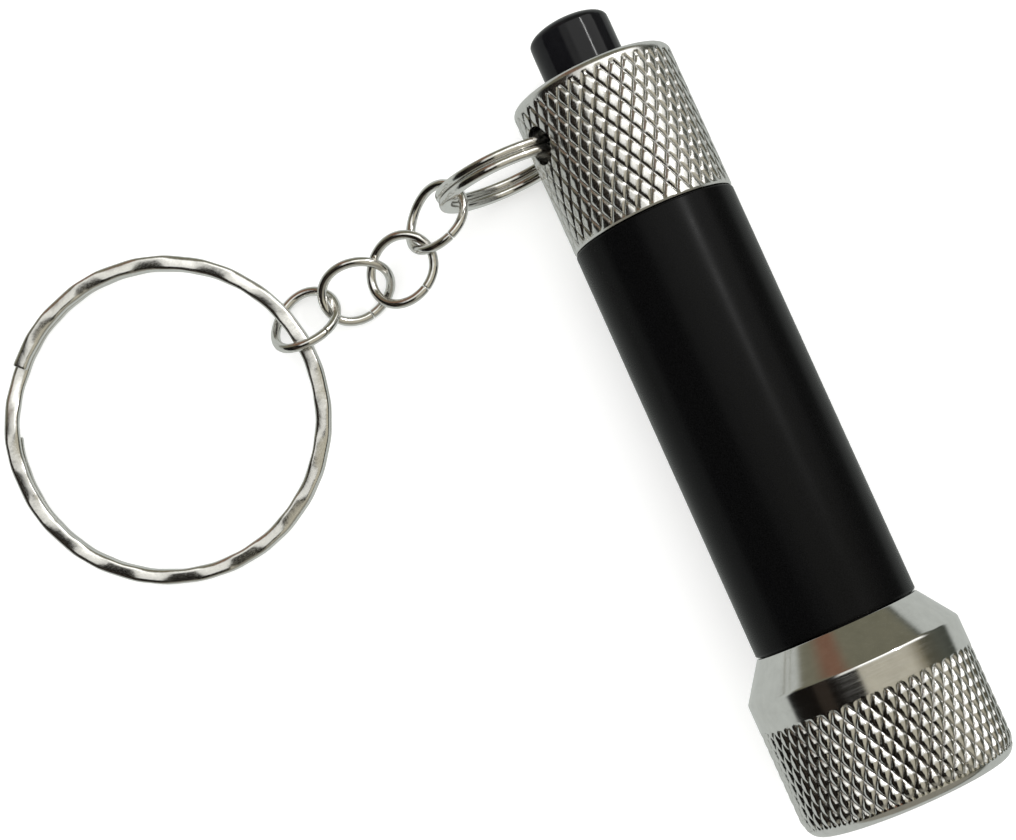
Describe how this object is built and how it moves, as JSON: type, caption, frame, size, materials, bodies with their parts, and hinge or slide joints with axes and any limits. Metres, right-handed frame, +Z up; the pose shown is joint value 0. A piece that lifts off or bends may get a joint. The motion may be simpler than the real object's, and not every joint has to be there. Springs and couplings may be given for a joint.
{
  "type": "keychain flashlight",
  "caption": "Small push-button torch with a black barrel, knurled bright head and tail, and a split ring, chain and key ring at its tail",
  "frame": {"origin": "centre of the bounding box in plan, on the surface that the torch, the chain and the key ring lie on", "axes": "+Z up. +X runs from the tail to the head: the axis of the torch lies in the XZ plane and rises by 2.47 degrees towards the head, because it rests on the rim of the tail and on the wider head. The chain and key ring lie towards -Y"},
  "size_m": [0.0694, 0.0668, 0.0189],
  "materials": {
    "black_anodised": "black anodised, satin",
    "tail_aluminium": "bright, diamond knurled",
    "head_aluminium": "bright, polished cone and diamond knurled band",
    "bezel_aluminium": "polished",
    "black_plastic": "moulded",
    "white_plastic": "moulded",
    "button_gloss": "glossy black",
    "brass": "turned",
    "spring_steel": "nickel-plated wire",
    "sleeve_film": "insulating film",
    "cell_steel": "nickel-plated steel can",
    "board": "solder-masked board",
    "reflector": "vacuum-plated",
    "led_clear": "water-clear epoxy",
    "lens_clear": "clear polished",
    "seal_rubber": "soft",
    "ring_nickel": "nickel-plated",
    "link_nickel": "nickel-plated",
    "key_ring_nickel": "nickel-plated, hammered flats"
  },
  "bodies": {
    "barrel": {"barrel_tube": "black_anodised", "tail_cap": "tail_aluminium", "switch_housing": "black_plastic", "switch_retaining_ring": "brass", "button_return_spring": "spring_steel", "tail_spring": "spring_steel", "battery_sleeve": "sleeve_film", "battery_cell_1": "cell_steel", "battery_cell_2": "cell_steel", "battery_cell_3": "cell_steel", "battery_cell_4": "cell_steel"},
    "button": {"button_cap": "button_gloss", "button_plunger": "white_plastic"},
    "lamp_module": {"lamp_holder": "black_plastic", "led_board": "board", "reflector_plate": "reflector", "front_contact_spring": "spring_steel", "led_1": "led_clear", "led_2": "led_clear", "led_3": "led_clear", "led_4": "led_clear", "led_5": "led_clear"},
    "head": {"head_shell": "head_aluminium", "head_seal_ring": "seal_rubber", "lens": "lens_clear", "lens_gasket": "seal_rubber", "bezel_ring": "bezel_aluminium"},
    "small_ring": {"small_split_ring": "ring_nickel"},
    "link_1": {"chain_link_1": "link_nickel"},
    "link_2": {"chain_link_2": "link_nickel"},
    "link_3": {"chain_link_3": "link_nickel"},
    "link_4": {"chain_link_4": "link_nickel"},
    "key_ring": {"key_ring": "key_ring_nickel"}
  },
  "joints": [
    {"name": "button_press", "type": "slide", "parent": "barrel", "child": "button", "axis": [0.9991, 0, 0.0432], "range_m": [0, 0.0015], "stiffness_N_per_m": 1200, "springref_m": -0.0008, "deforming": ["button_return_spring"]},
    {"name": "lamp_module_advance", "type": "slide", "parent": "barrel", "child": "lamp_module", "axis": [0.9991, 0, 0.0432], "range_m": [0, 0.00501]},
    {"name": "head_unscrew", "type": "hinge", "parent": "lamp_module", "child": "head", "pos_m": [-0.02945, 0.02422, 0.00697], "axis": [0.9991, 0, 0.0432], "range_deg": [0, 1800]},
    {"name": "small_ring_swing", "type": "hinge", "parent": "barrel", "child": "small_ring", "pos_m": [-0.02548, 0.01902, 0.00653], "axis": [-0.0429, -0.1169, 0.9922], "range_deg": [-12, 12]},
    {"name": "link_1_swing", "type": "hinge", "parent": "small_ring", "child": "link_1", "pos_m": [-0.02539, 0.00945, 0.00449], "axis": [-0.0415, -0.279, 0.9594], "range_deg": [-40, 30]},
    {"name": "link_2_swing", "type": "hinge", "parent": "link_1", "child": "link_2", "pos_m": [-0.02338, 0.00544, 0.00328], "axis": [-0.6429, -0.1957, -0.7405], "range_deg": [-40, 40]},
    {"name": "link_3_swing", "type": "hinge", "parent": "link_2", "child": "link_3", "pos_m": [-0.02389, 0.0018, 0.00227], "axis": [-0.6977, 0.6549, 0.2904], "range_deg": [-20, 40]},
    {"name": "link_4_swing", "type": "hinge", "parent": "link_3", "child": "link_4", "pos_m": [-0.02236, -0.00349, 0.00178], "axis": [-0.9269, 0.0608, 0.3704], "range_deg": [-40, 40]},
    {"name": "key_ring_swing", "type": "hinge", "parent": "link_4", "child": "key_ring", "pos_m": [-0.02292, -0.00749, 0.00058], "axis": [-0.6812, 0.696, -0.227], "range_deg": [0, 45]}
  ],
  "couplings": [
    {"joint": "lamp_module_advance", "follows": "head_unscrew", "m_per_rad": 0.00015915}
  ]
}
